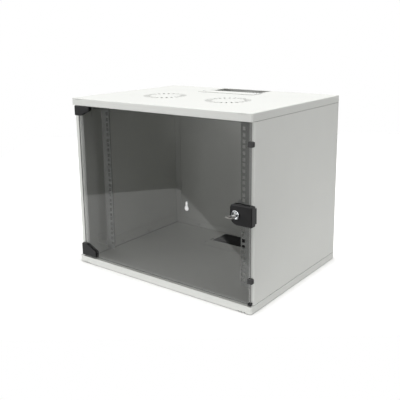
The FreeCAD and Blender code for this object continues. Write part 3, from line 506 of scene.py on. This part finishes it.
black_rubber, tree, out = new_material("moulded_epdm_rubber")
spot = add_node(tree, "ShaderNodeTexCoord")
bloom = add_node(tree, "ShaderNodeTexNoise", {"Scale": bloom_grain, "Detail": 4.0},
                 {"Vector": spot.outputs["Object"]})
shade = add_node(tree, "ShaderNodeMix",
                 {"data_type": "RGBA", COLOUR_A: srgb("2A2A2A"), COLOUR_B: srgb("343434")},
                 {FACTOR: bloom.outputs["Fac"]})
rubber = add_node(tree, "ShaderNodeBsdfPrincipled",
                  {"IOR": 1.5, "Roughness": 0.62, "Specular IOR Level": 0.4},
                  {"Base Color": shade.outputs[MIXED]})
tree.links.new(rubber.outputs[0], out.inputs[0])
softened("edge_buffers", black_rubber, 0.0011, 4)

# ---- Lock cylinder ----------------------------------------------------------------------------
# Barrel and rotor are turned from brass and chrome plated; the face keeps fine turning rings.
# The barrel has a rolled rim round a dished face; the rotor sits in the dish with its keyway.
turning_grain = 900.0  # to the metre: 1.1 mm, coarser than the tool's real feed so that it shows
turning_steps = 48
neck_radius, rim_deep = 0.008, 0.003  # the barrel behind its rim, and the rim's depth
# The rolled rim, from its foot to the dish: share of its radius, depth behind the nose.
rolled_rim = ((1.0, rim_deep), (1.0, 0.0012), (0.985, 0.0006), (0.95, 0.0002), (0.90, 0.0),
              (0.85, 0.0001), (0.80, 0.0004), (0.75, 0.0010), (0.68, 0.0014), (0.60, 0.0016))
bore_at, running_gap = 0.0017, 0.00008  # depth of the bore's mouth, and the gap round the rotor
# The rotor's edge and the rim of its flat face: radius, depth. Its own radius comes from its box.
rotor_edge, rotor_face = 0.0014, ((0.0054, 0.0009), (0.0050, 0.0008))
# The keyway's mouth, throat and end: half width, half height, depth.
keyway = ((0.0041, 0.0014, 0.0008), (0.00385, 0.00115, 0.0012), (0.00385, 0.00115, 0.0186))

chrome, tree, out = new_material("chromed_brass_turned")
spot = add_node(tree, "ShaderNodeTexCoord")
ring = add_node(tree, "ShaderNodeTexNoise", {"Scale": turning_grain, "Detail": 2.0},
                {"Vector": spot.outputs["Object"]})
worn = add_node(tree, "ShaderNodeMapRange", {"To Min": 0.14, "To Max": 0.24},
                {0: ring.outputs["Fac"]})
bump = add_node(tree, "ShaderNodeBump", {"Strength": 0.08, "Distance": 0.00005},
                {"Height": ring.outputs["Fac"]})
bright = add_node(tree, "ShaderNodeBsdfPrincipled",
                  {"Base Color": srgb("B4B6B8"), "Metallic": 1.0},
                  {"Normal": bump.outputs[0], "Roughness": worn.outputs[0]})
tree.links.new(bright.outputs[0], out.inputs[0])

low, high = (Vector(end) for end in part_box("lock_barrel"))
nose = Vector(((low.x + high.x) / 2, low.y, (low.z + high.z) / 2))
out_of_lock = Vector((0, -1, 0)).to_track_quat("Z", "X").to_matrix().to_4x4()
lock_axis = Matrix.Translation(nose) @ out_of_lock
barrel_deep, rim_radius = high.y - low.y, (high.x - low.x) / 2
low, high = (Vector(end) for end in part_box("lock_rotor"))
rotor_deep, rotor_radius = high.y - low.y, (high.x - low.x) / 2
bore_radius = rotor_radius + running_gap

mesh = bmesh.new()
lathe(mesh, [(bore_radius, -barrel_deep), (neck_radius, -barrel_deep), (neck_radius, -rim_deep),
             (rim_radius, -rim_deep)], turning_steps, lock_axis)
lathe(mesh, [(rim_radius * share, -depth) for share, depth in rolled_rim]
      + [(bore_radius, -bore_at), (bore_radius, -barrel_deep)], turning_steps, lock_axis)
bmesh.ops.remove_doubles(mesh, verts=mesh.verts, dist=1e-7)
bmesh.ops.recalc_face_normals(mesh, faces=mesh.faces)
barrel = new_piece("lock_barrel_turned", mesh, chrome)
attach(barrel, "door")
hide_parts("lock_barrel")

mesh = bmesh.new()
rings = lathe(mesh, [(0, -rotor_deep), (rotor_radius, -rotor_deep), (rotor_radius, -rotor_edge)]
              + [(radius, -depth) for radius, depth in rotor_face], turning_steps, lock_axis)
mouths = [[mesh.verts.new(nose + Vector((x * wide, depth, z * tall)))
           for x, z in ((-1, -1), (1, -1), (1, 1), (-1, 1))] for wide, tall, depth in keyway]
fill_between(mesh, rings[-1], mouths[0])
for one, two in zip(mouths, mouths[1:]):
    for i in range(4):
        mesh.faces.new([one[i], one[i - 1], two[i - 1], two[i]])
mesh.faces.new(mouths[-1])
bmesh.ops.recalc_face_normals(mesh, faces=mesh.faces)
rotor = new_piece("lock_rotor_turned", mesh, chrome)
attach(rotor, "lock")
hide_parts("lock_rotor")

# ---- Key --------------------------------------------------------------------------------------
# Stamped from nickel-plated brass sheet: a rounded bow with an eye, a shoulder and a cut blade.
# The stamped edges are tumbled round; the plate has a soft satin shine.
bow_long, blade_half = 0.022, 0.0037
bow_round, eye_at = 0.42, 0.38  # half the bow's round part and its eye, as shares of its length
shoulder = ((0.8, 0.80), (0.45, 0.97))  # shares of the bow's half width and length
tip_long, tip_half = 0.002, 0.0012
cuts = ((0.93, 0.3), (0.86, 0.3), (0.80, 0.55), (0.74, 0.55), (0.68, 0.15), (0.62, 0.15),
        (0.56, 0.45), (0.50, 0.45), (0.44, 0.0))  # shares of the blade's length and half width
eye_radius, eye_steps, bow_steps = 0.0033, 24, 32
tumbled_radius = 0.0003
wear_grain = 350.0  # to the metre: patches of 2.9 mm

nickel, tree, out = new_material("nickel_plated_brass_satin")
spot = add_node(tree, "ShaderNodeTexCoord")
wear = add_node(tree, "ShaderNodeTexNoise", {"Scale": wear_grain, "Detail": 4.0},
                {"Vector": spot.outputs["Object"]})
shade = add_node(tree, "ShaderNodeMix",
                 {"data_type": "RGBA", COLOUR_A: srgb("8E8D8A"), COLOUR_B: srgb("A3A19D")},
                 {FACTOR: wear.outputs["Fac"]})
satin = add_node(tree, "ShaderNodeMapRange", {"To Min": 0.28, "To Max": 0.42},
                 {0: wear.outputs["Fac"]})
plated = add_node(tree, "ShaderNodeBsdfPrincipled", {"Metallic": 1.0},
                  {"Base Color": shade.outputs[MIXED], "Roughness": satin.outputs[0]})
tree.links.new(plated.outputs[0], out.inputs[0])


def fuller(share):
    """A sine or cosine pulled outward, so that the circle it draws nears a rounded square."""
    return math.copysign(abs(share) ** 0.75, share)


low, high = (Vector(end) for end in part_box("lock_key"))
key_middle, gauge = (low.x + high.x) / 2, high.z - low.z
bow_half, key_long = (high.x - low.x) / 2, high.y - low.y
half_turn = [math.pi * (0.5 + i / bow_steps) for i in range(bow_steps + 1)]
outline = [(bow_half * fuller(math.sin(a)), bow_long * bow_round * (1 + fuller(math.cos(a))))
           for a in half_turn]
outline += [(-bow_half * x, bow_long * y) for x, y in shoulder]
outline += [(-blade_half, bow_long), (-blade_half, key_long - tip_long), (-tip_half, key_long),
            (tip_half, key_long)]
outline += [(blade_half * (1 - cut), bow_long + (key_long - bow_long) * share)
            for share, cut in cuts]
outline += [(blade_half, bow_long)]
outline += [(bow_half * x, bow_long * y) for x, y in reversed(shoulder)]
eye_turns = [math.tau * i / eye_steps for i in range(eye_steps)]
eye = [(eye_radius * math.cos(a), bow_long * eye_at + eye_radius * math.sin(a))
       for a in eye_turns]

mesh = bmesh.new()
flat = [[mesh.verts.new((key_middle + x, low.y + y, low.z)) for x, y in loop]
        for loop in (outline, eye)]
caps = [face for face in fill_between(mesh, *flat) if isinstance(face, bmesh.types.BMFace)]
raised = bmesh.ops.extrude_face_region(mesh, geom=caps)["geom"]
bmesh.ops.translate(mesh, vec=(0, 0, gauge),
                    verts=[v for v in raised if isinstance(v, bmesh.types.BMVert)])
bmesh.ops.recalc_face_normals(mesh, faces=mesh.faces)
round_edges(mesh, 60, tumbled_radius, 2)
key = new_piece("lock_key_stamped", mesh, nickel)
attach(key, "key")
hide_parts("lock_key")
